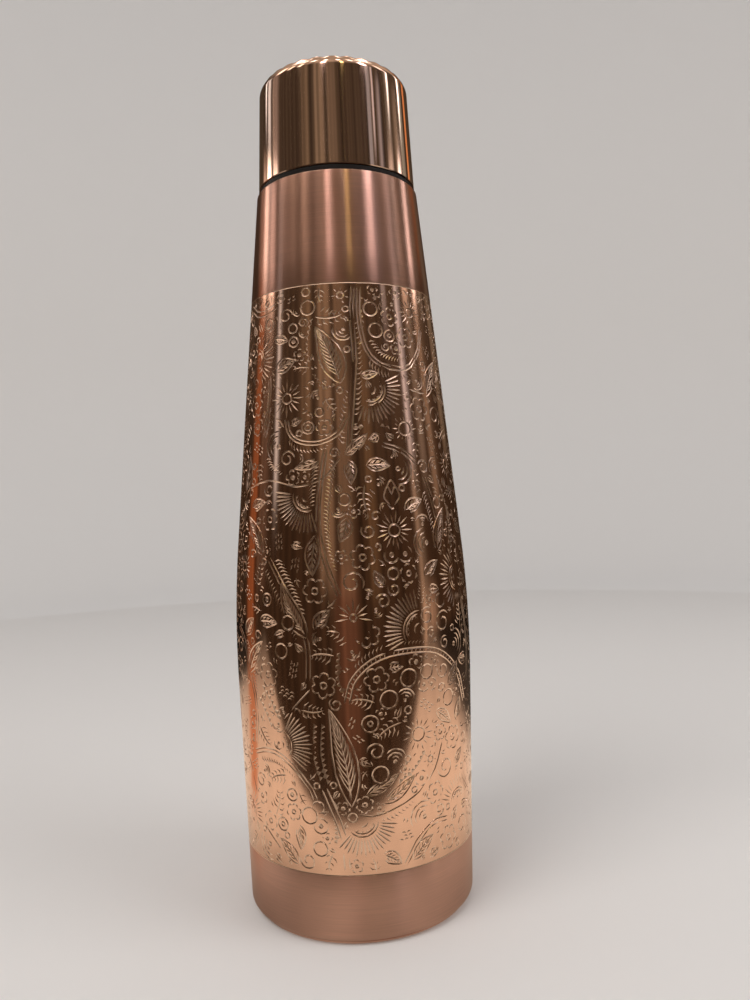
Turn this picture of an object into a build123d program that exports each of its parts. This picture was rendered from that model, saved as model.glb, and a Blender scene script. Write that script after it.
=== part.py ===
"""A one-litre copper water bottle with a two-start screw cap.

Row frame: origin at the middle of the foot, on the surface that the bottle stands on, +Z up the bottle.
Every piece is round about Z. All sizes are in millimetres and all angles in degrees.
"""

import math
import os

from build123d import *

# ---------------------------------------------------------------- driving dimensions
TOTAL_HEIGHT = 285.0

# Bottle wall: a gently flaring lower cone, a long belly arc and a straight upper cone.
WALL = 0.6
FOOT_RADIUS = 39.1        # lower cone carried down to the foot
BELLY_RADIUS = 41.7       # where the two cones would meet
BELLY_HEIGHT = 101.4
BELLY_ARC = 400.0         # blend between the cones
SHOULDER_RADIUS = 28.3    # top edge of the bottle wall
SHOULDER_HEIGHT = 246.1
HEEL_FILLET = 2.4
SHOULDER_FILLET = 0.7
LIP_RADIUS = 34.0         # inner edge of the turned-in heel, where the base plate is brazed

# Base plate, brazed under the turned-in heel with its middle raised off the table.
PLATE_THICKNESS = 1.0
PLATE_RADIUS = 37.2
PLATE_RISE = 3.0
PLATE_DISC_RADIUS = 32.4
PLATE_EDGE = 0.35

# Neck collar, brazed into the shoulder.
MOUTH_RADIUS = 20.8
NECK_RADIUS = 22.2
NECK_BOTTOM = 236.0
NECK_TOP = 270.0
NECK_FLANGE_RADIUS = 25.2
NECK_FLANGE = 0.8
NECK_LIP_FILLET = 0.6

# Two-start thread. Neck and cap ridges are the same trapezoid, facing each other.
STARTS = 2
LEAD = 8.0
PITCH = LEAD / STARTS
RIDGE_HEIGHT = 1.1
RIDGE_ROOT = 2.0
RIDGE_CREST = 1.0
RIDGE_BURY = 0.3          # how far a ridge reaches into its own wall
NECK_THREAD_START = 251.5
NECK_THREAD_TURNS = 1.5
CAP_THREAD_TURNS = 1.0
THREAD_SLACK = 0.45       # the tightened cap hangs this far off the middle of the thread gap

# Gasket on the shoulder, the dark line between bottle and cap.
SEAM = 2.0
GASKET_INNER_RADIUS = 22.4
GASKET_OUTER_RADIUS = 27.3
GASKET_SQUEEZE_GAP = 0.1
GASKET_EDGE = 0.3

# Cap shell: a drawn copper cup, slightly narrower at the top, with a scalloped top edge.
CAP_WALL = 0.6
CAP_FOOT_RADIUS = 27.6
CAP_HEAD_RADIUS = 26.1
CAP_FILLET = 3.6
CAP_BOTTOM = SHOULDER_HEIGHT + SEAM

SCALLOPS = 30
SCALLOP_RADIUS = 2.4
SCALLOP_PROUD = 0.4       # how far a scallop stands out of the rounded shoulder
SCALLOP_TILT = 68.0       # how far up the shoulder the scallops sit
CAP_TOP = TOTAL_HEIGHT - 0.3

# Cap liner: the moulded threaded insert pressed into the shell.
LINER_BORE = 23.6
LINER_WALL = 1.2
LINER_BOTTOM = CAP_BOTTOM + 0.4
LINER_FLANGE = 1.0
LINER_FIT = 0.05
LINER_CEILING = 272.2
LINER_PLATE = 1.2

# Seal ring between the neck's lip and the liner's ceiling.
SEAL_INNER_RADIUS = 19.6
SEAL_OUTER_RADIUS = 23.2
SEAL_GAP = 0.1
SEAL_EDGE = 0.4


def cap_outer_radius(height):
    """Outside radius of the cap's straight side at a height."""
    share = (height - CAP_BOTTOM) / (CAP_TOP - CAP_BOTTOM)
    return CAP_FOOT_RADIUS + share * (CAP_HEAD_RADIUS - CAP_FOOT_RADIUS)


def cap_profile(inset):
    """Half of the cap's closed outline, moved inward from the outside surface."""
    FilletPolyline(
        (0, CAP_BOTTOM),
        (CAP_FOOT_RADIUS - inset, CAP_BOTTOM),
        (CAP_HEAD_RADIUS - inset, CAP_TOP - inset),
        (0, CAP_TOP - inset),
        radius=(0, 0, CAP_FILLET - inset, 0),
        close=True,
    )


def ridge_points(root_radius, crest_radius):
    """A thread ridge's section in its axial plane, centred on height 0 and running on into its own wall."""
    flank = (RIDGE_ROOT - RIDGE_CREST) / 2 / RIDGE_HEIGHT
    buried_half = RIDGE_ROOT / 2 + flank * RIDGE_BURY
    buried_radius = root_radius - math.copysign(RIDGE_BURY, crest_radius - root_radius)
    return [
        (buried_radius, -buried_half),
        (crest_radius, -RIDGE_CREST / 2),
        (crest_radius, RIDGE_CREST / 2),
        (buried_radius, buried_half),
    ]


def add_thread(root_radius, crest_radius, start_height, turns):
    """Sweeps one ridge up its helix and adds it to the open part once for every start."""
    with BuildLine(Plane.XY.offset(start_height)) as path:
        Helix(pitch=LEAD, height=LEAD * turns, radius=root_radius)
    with BuildSketch(Plane(origin=(0, 0, start_height), x_dir=(1, 0, 0), z_dir=(0, -1, 0))) as section:
        with BuildLine():
            Polyline(*ridge_points(root_radius, crest_radius), close=True)
        make_face()
    ridge = sweep(section.sketch, path=path.line, is_frenet=True, mode=Mode.PRIVATE)
    with PolarLocations(0, STARTS):
        add(ridge)


# ---------------------------------------------------------------- bottle
with BuildPart() as body_shell:
    with BuildSketch(Plane.XZ):
        with BuildLine() as wall_line:
            FilletPolyline(
                (LIP_RADIUS, PLATE_THICKNESS),
                (FOOT_RADIUS, PLATE_THICKNESS),
                (BELLY_RADIUS, BELLY_HEIGHT),
                (SHOULDER_RADIUS, SHOULDER_HEIGHT),
                (NECK_RADIUS, SHOULDER_HEIGHT),
                radius=(HEEL_FILLET, BELLY_ARC, SHOULDER_FILLET),
            )
            offset(amount=WALL, side=Side.LEFT)
        make_face()
    revolve(axis=Axis.Z)
body_shell.part.label = "body_shell"

with BuildPart() as base_plate:
    with BuildSketch(Plane.XZ):
        with BuildLine():
            Polyline(
                (0, PLATE_RISE - PLATE_THICKNESS),
                (PLATE_DISC_RADIUS - PLATE_THICKNESS, PLATE_RISE - PLATE_THICKNESS),
                (PLATE_DISC_RADIUS, 0),
                (PLATE_RADIUS, 0),
                (PLATE_RADIUS, PLATE_THICKNESS),
                (PLATE_DISC_RADIUS + PLATE_THICKNESS, PLATE_THICKNESS),
                (PLATE_DISC_RADIUS, PLATE_RISE),
                (0, PLATE_RISE),
                close=True,
            )
        make_face()
    revolve(axis=Axis.Z)
    rims = base_plate.edges().filter_by(GeomType.CIRCLE).filter_by(lambda e: abs(e.radius - PLATE_RADIUS) < 0.01)
    fillet(rims, radius=PLATE_EDGE)
base_plate.part.label = "base_plate"

with BuildPart() as neck_collar:
    flange_top = SHOULDER_HEIGHT - WALL
    with BuildSketch(Plane.XZ):
        with BuildLine():
            Polyline(
                (MOUTH_RADIUS, NECK_BOTTOM),
                (NECK_RADIUS, NECK_BOTTOM),
                (NECK_RADIUS, flange_top - NECK_FLANGE),
                (NECK_FLANGE_RADIUS, flange_top - NECK_FLANGE),
                (NECK_FLANGE_RADIUS, flange_top),
                (NECK_RADIUS, flange_top),
                (NECK_RADIUS, NECK_TOP),
                (MOUTH_RADIUS, NECK_TOP),
                close=True,
            )
        make_face()
    revolve(axis=Axis.Z)
    fillet(neck_collar.faces().sort_by(Axis.Z)[-1].edges(), radius=NECK_LIP_FILLET)
    add_thread(NECK_RADIUS, NECK_RADIUS + RIDGE_HEIGHT, NECK_THREAD_START, NECK_THREAD_TURNS)
neck_collar.part.label = "neck_collar"

with BuildPart() as neck_gasket:
    gasket_height = SEAM - GASKET_SQUEEZE_GAP
    with BuildSketch(Plane.XY.offset(SHOULDER_HEIGHT)):
        Circle(GASKET_OUTER_RADIUS)
        Circle(GASKET_INNER_RADIUS, mode=Mode.SUBTRACT)
    extrude(amount=gasket_height)
    fillet(neck_gasket.edges().filter_by(GeomType.CIRCLE), radius=GASKET_EDGE)
neck_gasket.part.label = "neck_gasket"

# ---------------------------------------------------------------- cap
with BuildPart() as cap_shell:
    with BuildSketch(Plane.XZ):
        with BuildLine():
            cap_profile(0)
        make_face()
    revolve(axis=Axis.Z)
    tilt = math.radians(SCALLOP_TILT)
    reach = CAP_FILLET + SCALLOP_PROUD - SCALLOP_RADIUS
    scallop_circle = CAP_HEAD_RADIUS - CAP_FILLET + reach * math.cos(tilt)
    with Locations((0, 0, CAP_TOP - CAP_FILLET + reach * math.sin(tilt))):
        with PolarLocations(scallop_circle, SCALLOPS):
            Sphere(SCALLOP_RADIUS)
    with BuildSketch(Plane.XZ):
        with BuildLine():
            cap_profile(CAP_WALL)
        make_face()
    revolve(axis=Axis.Z, mode=Mode.SUBTRACT)
cap_shell.part.label = "cap_shell"

with BuildPart() as cap_liner:
    flange_radius = cap_outer_radius(LINER_BOTTOM + LINER_FLANGE) - CAP_WALL - LINER_FIT
    plate_radius = cap_outer_radius(LINER_CEILING + LINER_PLATE) - CAP_WALL - LINER_FIT
    sleeve_radius = LINER_BORE + LINER_WALL
    with BuildSketch(Plane.XZ):
        with BuildLine():
            Polyline(
                (LINER_BORE, LINER_BOTTOM),
                (flange_radius, LINER_BOTTOM),
                (flange_radius, LINER_BOTTOM + LINER_FLANGE),
                (sleeve_radius, LINER_BOTTOM + LINER_FLANGE),
                (sleeve_radius, LINER_CEILING),
                (plate_radius, LINER_CEILING),
                (plate_radius, LINER_CEILING + LINER_PLATE),
                (0, LINER_CEILING + LINER_PLATE),
                (0, LINER_CEILING),
                (LINER_BORE, LINER_CEILING),
                close=True,
            )
        make_face()
    revolve(axis=Axis.Z)
    cap_thread_start = NECK_THREAD_START + PITCH / 2 + THREAD_SLACK
    add_thread(LINER_BORE, LINER_BORE - RIDGE_HEIGHT, cap_thread_start, CAP_THREAD_TURNS)
cap_liner.part.label = "cap_liner"

with BuildPart() as cap_seal:
    with BuildSketch(Plane.XY.offset(NECK_TOP + SEAL_GAP)):
        Circle(SEAL_OUTER_RADIUS)
        Circle(SEAL_INNER_RADIUS, mode=Mode.SUBTRACT)
    extrude(amount=LINER_CEILING - NECK_TOP - 2 * SEAL_GAP)
    fillet(cap_seal.edges().filter_by(GeomType.CIRCLE), radius=SEAL_EDGE)
cap_seal.part.label = "cap_seal"

# ---------------------------------------------------------------- one STEP file per piece
os.makedirs("parts", exist_ok=True)
for piece in (body_shell, base_plate, neck_collar, neck_gasket, cap_shell, cap_liner, cap_seal):
    export_step(piece.part, f"parts/{piece.part.label}.step")
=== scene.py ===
"""Looks of the copper water bottle: camera, studio, brushed and polished copper, and the engraved band.

Blender objects are in metres in the part's frame, with +Z up the bottle. Outlines and the engraving are drawn
in millimetres. On the engraved band a place is (turn, height): the turn round the bottle in degrees, 0 at the
front and positive to the right, and the height in millimetres.
"""

import math
import random

import bpy
import numpy as np
from mathutils import Matrix, Vector
from mathutils.geometry import delaunay_2d_cdt
from mathutils.kdtree import KDTree


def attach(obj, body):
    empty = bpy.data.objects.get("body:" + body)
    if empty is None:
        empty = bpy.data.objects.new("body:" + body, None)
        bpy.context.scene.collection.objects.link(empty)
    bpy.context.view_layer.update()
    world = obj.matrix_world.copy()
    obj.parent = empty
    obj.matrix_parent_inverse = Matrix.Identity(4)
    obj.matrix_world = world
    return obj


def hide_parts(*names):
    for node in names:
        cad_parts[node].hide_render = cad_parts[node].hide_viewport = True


MM = 0.001
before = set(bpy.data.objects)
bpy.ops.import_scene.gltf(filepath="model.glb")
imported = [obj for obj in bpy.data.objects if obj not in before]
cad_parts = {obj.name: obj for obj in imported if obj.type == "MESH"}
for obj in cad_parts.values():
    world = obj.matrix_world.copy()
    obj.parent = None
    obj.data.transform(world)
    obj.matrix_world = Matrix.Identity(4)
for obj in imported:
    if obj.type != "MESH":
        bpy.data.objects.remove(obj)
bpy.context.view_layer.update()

# ---------------------------------------------------------------- driving sizes, in millimetres
FOOT_RADIUS = 39.1
HEEL_HEIGHT = 1.0
BELLY_RADIUS = 41.7
BELLY_HEIGHT = 101.4
BELLY_ARC = 400.0
SHOULDER_RADIUS = 28.3
SHOULDER_HEIGHT = 246.1
HEEL_FILLET = 2.4
SHOULDER_FILLET = 0.7
LIP_RADIUS = 34.0
NECK_RADIUS = 22.2
WALL = 0.6
BAND_BOTTOM = 22.7
BAND_TOP = 208.0
EDGE_LINE = 0.4               # width of the turned line at each end of the engraved band
EDGE_LINE_DEPTH = 0.1

CAP_BOTTOM = 248.1
CAP_TOP = 284.7
CAP_DISH = 0.25               # how far the middle of the cap's top is sunk
CAP_FOOT_RADIUS = 27.6
CAP_HEAD_RADIUS = 26.1
CAP_FILLET = 3.6
SCALLOPS = 30
SCALLOP_PROUD = 0.34
SCALLOP_TILT = 66.0           # degrees up the cap's rounded shoulder
SCALLOP_SPREAD = 30.0         # degrees each way that a scallop fades out over

ROUND = 192                   # divisions round the bottle's wall
CAP_ROUND = 12 * SCALLOPS
STROKE = 0.27                 # half the width of an engraved line
STROKE_SLOPE = 0.5            # depth gained per millimetre towards a line's middle
TIP = 1.1                     # an open line runs out over this length at its ends
SKIN = 0.3                    # a span this close to an outline's outside counts as outside


# ---------------------------------------------------------------- outlines
def rounded(corner, before, after, radius, steps):
    """Points of the arc that rounds a corner of an outline."""
    corner, before, after = (np.array(p, float) for p in (corner, before, after))
    to_before = (before - corner) / np.linalg.norm(before - corner)
    to_after = (after - corner) / np.linalg.norm(after - corner)
    half = math.acos(float(np.clip(to_before @ to_after, -1, 1))) / 2
    reach = radius / math.tan(half)
    middle = to_before + to_after
    centre = corner + middle / np.linalg.norm(middle) * radius / math.sin(half)
    start, end = corner + to_before * reach, corner + to_after * reach
    first, last = (math.atan2(p[1] - centre[1], p[0] - centre[0]) for p in (start, end))
    turn = (last - first + math.pi) % (2 * math.pi) - math.pi
    angles = first + turn * np.linspace(0, 1, steps + 1)
    return [tuple(centre + radius * np.array([math.cos(a), math.sin(a)])) for a in angles]


def side_line(steps):
    """The wall's outside from the heel's corner to the shoulder's corner, rounded at the belly."""
    heel, shoulder = (FOOT_RADIUS, HEEL_HEIGHT), (SHOULDER_RADIUS, SHOULDER_HEIGHT)
    belly = rounded((BELLY_RADIUS, BELLY_HEIGHT), heel, shoulder, BELLY_ARC, steps)
    return np.array([heel, *belly, shoulder])


SIDE = side_line(64)


def wall_radius(height):
    """Outside radius of the bottle's wall at a height or an array of heights."""
    return np.interp(height, SIDE[:, 1], SIDE[:, 0])


def body_outline():
    """The wall's section from the engraved band's top, over the shoulder, down inside and up to its bottom."""
    top_corner, heel_corner = (SHOULDER_RADIUS, SHOULDER_HEIGHT), (FOOT_RADIUS, HEEL_HEIGHT)
    points = [
        (wall_radius(BAND_TOP), BAND_TOP),
        (wall_radius(BAND_TOP) - EDGE_LINE_DEPTH, BAND_TOP + EDGE_LINE / 2),
        (wall_radius(BAND_TOP + EDGE_LINE), BAND_TOP + EDGE_LINE),
    ]
    points += [(wall_radius(h), h) for h in (220, 235)]
    points += rounded(top_corner, tuple(SIDE[-2]), (0, SHOULDER_HEIGHT), SHOULDER_FILLET, 5)
    points += [(NECK_RADIUS, SHOULDER_HEIGHT), (NECK_RADIUS, SHOULDER_HEIGHT - WALL)]
    points += [(SHOULDER_RADIUS - 2.2 * WALL, SHOULDER_HEIGHT - WALL), (wall_radius(244.0) - WALL, 244.0)]
    points += [(wall_radius(h) - WALL, h) for h in (200, 150, 115, 90, 60, 20, 5)]
    inner_heel = (FOOT_RADIUS - WALL, HEEL_HEIGHT + WALL)
    points += rounded(inner_heel, (FOOT_RADIUS, 20), (0, HEEL_HEIGHT + WALL), HEEL_FILLET - WALL, 4)
    points += [(LIP_RADIUS, HEEL_HEIGHT + WALL), (LIP_RADIUS, HEEL_HEIGHT)]
    points += rounded(heel_corner, (0, HEEL_HEIGHT), tuple(SIDE[1]), HEEL_FILLET, 8)
    points += [(wall_radius(12), 12)]
    points += [
        (wall_radius(BAND_BOTTOM - EDGE_LINE), BAND_BOTTOM - EDGE_LINE),
        (wall_radius(BAND_BOTTOM) - EDGE_LINE_DEPTH, BAND_BOTTOM - EDGE_LINE / 2),
        (wall_radius(BAND_BOTTOM), BAND_BOTTOM),
    ]
    return points


def cap_outline():
    """The cap's section from the middle of its top, down the outside and back up inside."""
    points = [(radius, CAP_TOP - CAP_DISH) for radius in (0, 10, 17.5)]
    points += [(18.3, CAP_TOP - 0.05), (19.2, CAP_TOP)]
    points += rounded((CAP_HEAD_RADIUS, CAP_TOP), (0, CAP_TOP), (CAP_FOOT_RADIUS, CAP_BOTTOM), CAP_FILLET, 16)
    points += [(cap_radius(h), h) for h in (276, 268, 260, 254)]
    points += [(cap_radius(CAP_BOTTOM + 0.25), CAP_BOTTOM + 0.25), (CAP_FOOT_RADIUS - 0.2, CAP_BOTTOM)]
    inner_foot, ceiling = CAP_FOOT_RADIUS - WALL, CAP_TOP - WALL - 0.3
    points += [(inner_foot, CAP_BOTTOM), (inner_foot, CAP_BOTTOM + WALL)]
    points += [(cap_radius(h) - WALL, h) for h in (262, 276)]
    inner_head = (CAP_HEAD_RADIUS - WALL, ceiling)
    points += rounded(inner_head, (inner_foot, CAP_BOTTOM), (0, ceiling), CAP_FILLET - WALL, 6)
    points += [(10, ceiling), (0, ceiling)]
    return points


def cap_radius(height):
    """Outside radius of the cap's straight side at a height."""
    return np.interp(height, (CAP_BOTTOM, CAP_TOP), (CAP_FOOT_RADIUS, CAP_HEAD_RADIUS))


# ---------------------------------------------------------------- mesh building
SHARP = math.radians(32)      # corners of an outline that turn more than this stay crisp
WELD = 20000                  # corners closer than about a millimetre over this share a vertex


def new_object(name, points, faces, materials):
    """A smooth-shaded mesh in metres."""
    mesh = bpy.data.meshes.new(name)
    mesh.from_pydata([Vector(p) for p in points], [], faces)
    for material in materials:
        mesh.materials.append(material)
    mesh.polygons.foreach_set("use_smooth", [True] * len(faces))
    made = bpy.data.objects.new(name, mesh)
    bpy.context.scene.collection.objects.link(made)
    return made


class Shape:
    """A mesh being put together in millimetres: corners, faces, corner normals and material numbers."""

    def __init__(self):
        self.points, self.faces, self.normals, self.materials, self.found = [], [], [], [], {}

    def point(self, place):
        """The number of the vertex at a place, shared with any earlier one there."""
        key = tuple(round(float(c) * WELD) for c in place)
        if key not in self.found:
            self.found[key] = len(self.points)
            self.points.append(tuple(float(c) for c in place))
        return self.found[key]

    def face(self, places, normals, material):
        """Adds a face. Corners on one vertex are merged, and a face left with under three is dropped."""
        corners = [(self.point(p), tuple(n)) for p, n in zip(places, normals)]
        kept = [c for i, c in enumerate(corners) if c[0] != corners[i - 1][0]]
        if len({c[0] for c in kept}) >= 3:
            self.faces.append([c[0] for c in kept])
            self.normals += [c[1] for c in kept]
            self.materials.append(material)

    def to_object(self, name, materials):
        """The finished Blender object, in metres."""
        made = new_object(name, [Vector(p) * MM for p in self.points], self.faces, materials)
        made.data.polygons.foreach_set("material_index", self.materials)
        made.data.normals_split_custom_set(self.normals)
        made.data.update()
        return made


def on_round(radius, turn, height):
    """A point at a radius, a turn in radians from the front, and a height."""
    return (radius * math.sin(turn), -radius * math.cos(turn), height)


def outline_normals(points):
    """The (radial, upright) normals at both ends of each span of an outline, smooth over gentle corners."""
    points = np.array(points, float)
    spans = np.diff(points, axis=0)
    flat = np.stack([spans[:, 1], -spans[:, 0]], 1)
    flat /= np.linalg.norm(flat, axis=1, keepdims=True)
    ends = []
    for i, own in enumerate(flat):
        pair = []
        for other in (flat[max(i - 1, 0)], flat[min(i + 1, len(flat) - 1)]):
            mean = own + other if own @ other > math.cos(SHARP) else own
            pair.append(mean / np.linalg.norm(mean))
        ends.append(pair)
    return ends


def scallop(tilt, turn):
    """The scalloped edge's height at a tilt up the shoulder and a turn, with its slopes by both."""
    away = (math.degrees(tilt) - SCALLOP_TILT) / SCALLOP_SPREAD
    if abs(away) >= 1:
        return 0.0, 0.0, 0.0
    fade, wave = math.cos(math.pi / 2 * away) ** 2, math.cos(SCALLOPS / 2 * turn)
    lobe = abs(wave)
    by_tilt = -math.sin(math.pi * away) * math.pi / 2 / math.radians(SCALLOP_SPREAD)
    by_turn = -SCALLOPS / 2 * math.sin(SCALLOPS / 2 * turn) * np.sign(round(wave, 6))
    return SCALLOP_PROUD * fade * lobe, SCALLOP_PROUD * by_tilt * lobe, SCALLOP_PROUD * fade * by_turn


def lathe_corner(radius, height, normal, turn, scalloped):
    """A corner's place and normal in space, raised by the scalloped edge where asked."""
    if not scalloped:
        return on_round(radius, turn, height), on_round(normal[0], turn, normal[1])
    tilt = math.atan2(normal[1], normal[0])
    raised, by_tilt, by_turn = scallop(tilt, turn)
    place = on_round(radius + raised * normal[0], turn, height + raised * normal[1])
    along, across = by_tilt / CAP_FILLET, by_turn / max(radius, 1.0)
    leaning = (normal[0] + along * math.sin(tilt), normal[1] - along * math.cos(tilt))
    aside = Vector((math.cos(turn), math.sin(turn), 0)) * across
    return place, tuple((Vector(on_round(leaning[0], turn, leaning[1])) - aside).normalized())


def lathe(shape, points, divisions, material_of, outward=1, scalloped=False):
    """Turns an outline round Z into quads. outward is -1 where the outline runs the other way round."""
    ends = outline_normals(points)
    turns = [2 * math.pi * k / divisions for k in range(divisions)] + [0.0]
    for i in range(len(points) - 1):
        (r0, h0), (r1, h1) = points[i], points[i + 1]
        n0, n1 = (outward * n for n in ends[i])
        lifted = scalloped and n0[1] + n1[1] > 0 and min(r0, r1) > 0.5 * CAP_HEAD_RADIUS
        material = material_of((r0 + r1) / 2, (h0 + h1) / 2, n0)
        for k in range(divisions):
            a, b = turns[k], turns[k + 1]
            corners = [
                lathe_corner(r0, h0, n0, a, lifted), lathe_corner(r0, h0, n0, b, lifted),
                lathe_corner(r1, h1, n1, b, lifted), lathe_corner(r1, h1, n1, a, lifted),
            ][::outward]
            shape.face([c[0] for c in corners], [c[1] for c in corners], material)


# ---------------------------------------------------------------- drawing, in millimetres
def circle(radius, x=0.0, y=0.0, steps=40):
    """A closed ring of points."""
    around = np.linspace(0, 2 * math.pi, steps, endpoint=False)
    return np.stack([x + radius * np.cos(around), y + radius * np.sin(around)], 1)


def arc(radius, first, last, x=0.0, y=0.0, steps=24):
    """Points on an arc between two angles in degrees."""
    around = np.radians(np.linspace(first, last, steps))
    return np.stack([x + radius * np.cos(around), y + radius * np.sin(around)], 1)


def smooth(points, steps=10):
    """A flowing curve through a few points."""
    p = np.array(points, float)
    if len(p) < 3:
        return np.array([p[0] + (p[-1] - p[0]) * t for t in np.linspace(0, 1, steps + 1)])
    p = np.vstack([2 * p[0] - p[1], p, 2 * p[-1] - p[-2]])
    t = np.linspace(0, 1, steps, endpoint=False)[:, None]
    curve = [
        0.5 * (2 * b + (c - a) * t + (2 * a - 5 * b + 4 * c - d) * t**2 + (3 * b - a - 3 * c + d) * t**3)
        for a, b, c, d in zip(p, p[1:], p[2:], p[3:])
    ]
    return np.vstack([*curve, p[-2:-1]])


def lengths(points):
    """How far along a line each of its points is."""
    return np.concatenate([[0], np.cumsum(np.linalg.norm(np.diff(points, axis=0), axis=1))])


def at_lengths(points, places):
    """The points that lie at the given lengths along a line."""
    along = lengths(points)
    return np.stack([np.interp(places, along, points[:, 0]), np.interp(places, along, points[:, 1])], 1)


def spaced(points, gap):
    """The same line with its points an even gap apart."""
    points = np.array(points, float)
    whole = lengths(points)[-1]
    return at_lengths(points, np.linspace(0, whole, max(int(round(whole / gap)), 1) + 1))


def leftward(run):
    """The unit directions a quarter turn to the left of others."""
    left = np.stack([-run[:, 1], run[:, 0]], 1)
    return left / np.maximum(np.linalg.norm(left, axis=1, keepdims=True), 1e-9)


def sideways(points):
    """The unit direction to the left of a line at each of its points."""
    return leftward(np.gradient(np.array(points, float), axis=0))


def ray(angle, first, last, bend=0.0):
    """A line outward from the middle between two radii, curved sideways by bend degrees at its end."""
    share = np.linspace(0, 1, 5)
    turn, out = np.radians(angle + bend * share**2), first + (last - first) * share
    return np.stack([out * np.cos(turn), out * np.sin(turn)], 1)


# Each of these gives a motif: (open lines, closed lines, outline that later lines stay out of).
def ring(radius, dot=0.0):
    """A ring, with a smaller one in it where dot is its radius."""
    return [], [circle(radius)] + ([circle(dot)] if dot else []), circle(radius + 0.35)


def daisy(core, reach, petals, first=0.0, last=360.0):
    """A flower head: a ring with long and short rays round it."""
    turns = np.linspace(first, last, petals, endpoint=last - first < 360)
    reaches = (reach, core + 0.72 * (reach - core))
    rays = [ray(t, core + 0.45, reaches[i % 2]) for i, t in enumerate(turns)]
    return rays, [circle(core)], circle(reach + 0.2)


def fan(inner, outer, first, last, rays):
    """A half sunburst: a hub of two arcs with a frill inside it and rays fanning out."""
    turns = np.linspace(first, last, rays)
    lines = [ray(t, inner + 0.6, outer - (0.6 if i % 2 else 0)) for i, t in enumerate(turns)]
    lines += [arc(inner, first - 8, last + 8), arc(inner - 1.0, first, last)]
    for t in np.linspace(first + 12, last - 12, max(rays // 3, 3)):
        x, y = (inner - 2.0) * np.array([math.cos(math.radians(t)), math.sin(math.radians(t))])
        lines.append(arc(0.55, t - 100, t + 100, x, y, 9))
    lines += [arc(inner * 0.36, first, last)]
    edge = np.vstack([arc(outer + 0.3, first - 4, last + 4), [(0, 0)]])
    return lines, [], edge


def leaf(length, width, veins, bend=0.0):
    """A pointed leaf along +Y with a midrib and side veins, bent sideways by bend at its tip."""
    share = np.linspace(0, 1, 15)
    middle = np.stack([bend * share**2, length * share], 1)
    half = (width / 2 * np.sin(math.pi * share**0.8))[:, None]
    left = sideways(middle)
    sides = [middle + left * half, middle - left * half]
    lines = sides + [middle[1:-2]]
    for i in range(veins):
        at = 2 + int((len(share) - 6) * i / max(veins - 1, 1))
        for side in (1, -1):
            tip = middle[min(at + 3, 14)] + side * left[at] * half[min(at + 3, 14)] * 0.72
            bow = (middle[at] + tip) / 2 + side * left[at] * 0.12 * half[at]
            lines.append(smooth([middle[at], bow, tip], 4))
    return lines, [], np.vstack([sides[0], sides[1][::-1]])


def rosette(radius, petals=6, first=0.0):
    """A small flower of round petals about a ring."""
    out, lines = 0.60 * radius, []
    petal = 1.06 * out * math.sin(math.pi / petals)
    for t in np.linspace(first, first + 360, petals, endpoint=False):
        a = math.radians(t)
        lines.append(arc(petal, t - 112, t + 112, out * math.cos(a), out * math.sin(a), 13))
    return lines, [circle(0.24 * radius)], circle(radius + 0.15)


def shell(radius):
    """Arcs nested one in another above a dot."""
    lines = [arc(radius * share, 15, 165, 0, -0.4 * radius, 13) for share in (1.25, 0.85, 0.48)]
    return lines, [circle(0.16 * radius, 0, -0.45 * radius, 12)], circle(radius)


def fern(length, spread, teeth):
    """A bent spine along +Y with curved teeth on both sides."""
    share = np.linspace(0, 1, teeth * 2 + 1)
    spine = np.stack([0.25 * spread * np.sin(share * 2.2), length * (share - 0.5)], 1)
    left, lines = sideways(spine), [spine]
    for k in range(1, teeth * 2, 2):
        reach = spread * 0.5 * (1 - 0.6 * share[k])
        for side in (1, -1):
            bow = spine[k] + side * left[k] * 0.6 * reach + (0, 0.08 * reach)
            tip = spine[k] + side * left[k] * reach + (0, 0.62 * reach)
            lines.append(smooth([spine[k], bow, tip], 4))
    return lines, [], circle(0.5 * length)


def scales(width, rows, size):
    """Rows of small bows set like fish scales, pointing up."""
    lines = []
    for row in range(rows):
        shift = size * (row % 2)
        count = max(int((width - row * size * 0.7) / (2 * size)), 1)
        for k in range(count):
            x = (k - (count - 1) / 2) * 2 * size + shift * 0.5
            lines.append(arc(size, 12, 168, x, (row - rows / 2) * size * 1.15, 9))
    return lines, [], circle(max(width, rows * size) / 2)


def hook(radius, turn=1.35):
    """A curl that winds in to a small ring."""
    share = np.linspace(0, 1, 26)
    around, out = share * turn * 2 * math.pi, radius * (1 - 0.72 * share)
    return [np.stack([out * np.cos(around), out * np.sin(around)], 1)], [], circle(radius + 0.3)


def tulip(size):
    """Three standing petals over a small cup."""
    lines = [
        smooth([(-0.1, 0.0), (-0.42, 0.45), (-0.2, 0.95), (0.0, 0.5)], 6),
        smooth([(0.1, 0.0), (0.42, 0.45), (0.2, 0.95), (0.0, 0.5)], 6),
        smooth([(-0.28, 0.85), (0.0, 1.25), (0.28, 0.85)], 6),
        smooth([(-0.3, 0.1), (0.0, -0.16), (0.3, 0.1)], 5),
    ]
    outline = [(0, -0.2), (0.46, 0.4), (0.3, 0.95), (0, 1.25), (-0.3, 0.95), (-0.46, 0.4), (0, -0.2)]
    return [size * line for line in lines], [], size * smooth(outline, 4)


# ---------------------------------------------------------------- the engraving
def inside(points, outline):
    """Which points lie inside a closed outline, by the sides that a line from each of them crosses."""
    x, y = points[:, 0], points[:, 1]
    within = np.zeros(len(points), bool)
    for (x0, y0), (x1, y1) in zip(outline, np.roll(outline, -1, axis=0)):
        if y0 != y1:
            crosses = (y0 > y) != (y1 > y)
            within ^= crosses & (x < x0 + (y - y0) * (x1 - x0) / (y1 - y0))
    return within


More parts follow.
